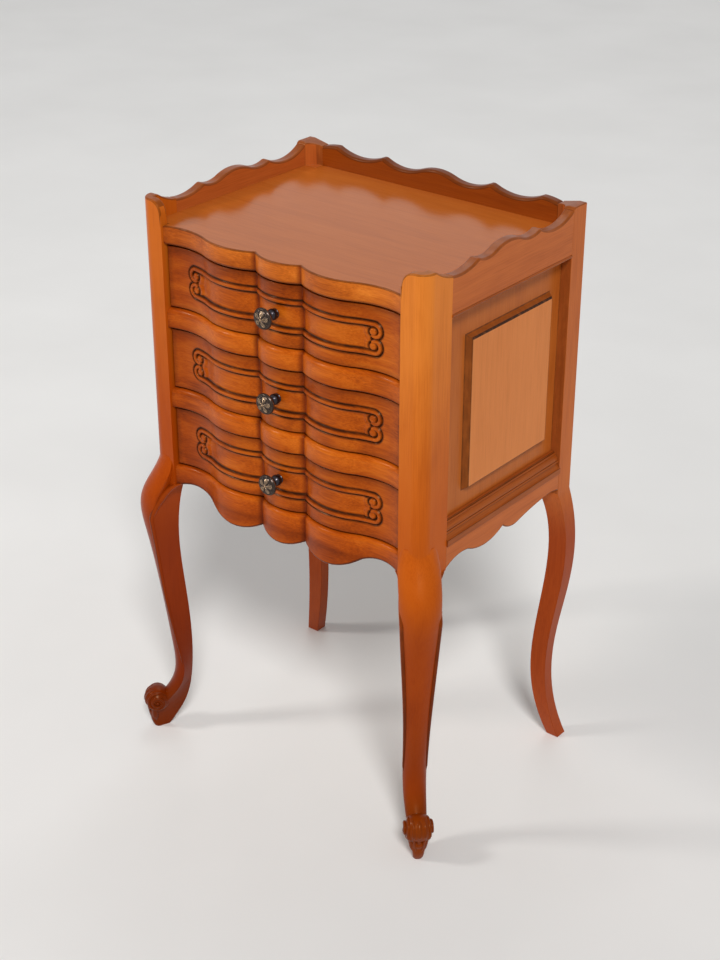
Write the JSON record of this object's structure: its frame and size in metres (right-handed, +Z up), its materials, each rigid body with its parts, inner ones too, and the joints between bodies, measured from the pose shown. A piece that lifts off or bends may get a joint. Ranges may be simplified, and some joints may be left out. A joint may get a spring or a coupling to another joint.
{
  "type": "nightstand",
  "caption": "Bedside chest with serpentine drawers, cabriole legs on scroll feet, fielded sides and a scalloped gallery around its top.",
  "frame": {"origin": "on the floor under the middle of the chest's bounding box", "axes": "+Z up, -Y out of the front where the drawers open, +X to the right as seen from the front"},
  "size_m": [0.4598, 0.3358, 0.7203],
  "materials": {
    "show_wood": "satin lacquer",
    "lining": "bare",
    "knob": "antique",
    "screw": "zinc"
  },
  "bodies": {
    "case": {"back_gallery": "show_wood", "back_panel": "lining", "back_pins": "screw", "back_rail": "lining", "drawer_stops": "lining", "front_apron": "show_wood", "front_left_leg": "show_wood", "front_right_leg": "show_wood", "glue_blocks": "lining", "left_gallery": "show_wood", "left_kicker": "lining", "left_side_apron": "show_wood", "left_side_moulding": "show_wood", "left_side_panel": "show_wood", "lower_left_guide": "lining", "lower_left_runner": "lining", "lower_rail": "show_wood", "lower_right_guide": "lining", "lower_right_runner": "lining", "middle_left_guide": "lining", "middle_left_runner": "lining", "middle_right_guide": "lining", "middle_right_runner": "lining", "rear_left_leg": "show_wood", "rear_right_leg": "show_wood", "right_gallery": "show_wood", "right_kicker": "lining", "right_side_apron": "show_wood", "right_side_moulding": "show_wood", "right_side_panel": "show_wood", "top_panel": "show_wood", "upper_left_guide": "lining", "upper_left_runner": "lining", "upper_rail": "show_wood", "upper_right_guide": "lining", "upper_right_runner": "lining"},
    "lower_drawer": {"lower_drawer_back": "lining", "lower_drawer_bottom": "lining", "lower_drawer_front": "show_wood", "lower_drawer_left_side": "lining", "lower_drawer_right_side": "lining", "lower_knob": "knob", "lower_knob_screw": "screw"},
    "middle_drawer": {"middle_drawer_back": "lining", "middle_drawer_bottom": "lining", "middle_drawer_front": "show_wood", "middle_drawer_left_side": "lining", "middle_drawer_right_side": "lining", "middle_knob": "knob", "middle_knob_screw": "screw"},
    "upper_drawer": {"upper_drawer_back": "lining", "upper_drawer_bottom": "lining", "upper_drawer_front": "show_wood", "upper_drawer_left_side": "lining", "upper_drawer_right_side": "lining", "upper_knob": "knob", "upper_knob_screw": "screw"}
  },
  "joints": [
    {"name": "upper_drawer_slide", "type": "slide", "parent": "case", "child": "upper_drawer", "axis": [0, -1, 0], "range_m": [0, 0.2]},
    {"name": "middle_drawer_slide", "type": "slide", "parent": "case", "child": "middle_drawer", "axis": [0, -1, 0], "range_m": [0, 0.2]},
    {"name": "lower_drawer_slide", "type": "slide", "parent": "case", "child": "lower_drawer", "axis": [0, -1, 0], "range_m": [0, 0.2]}
  ]
}
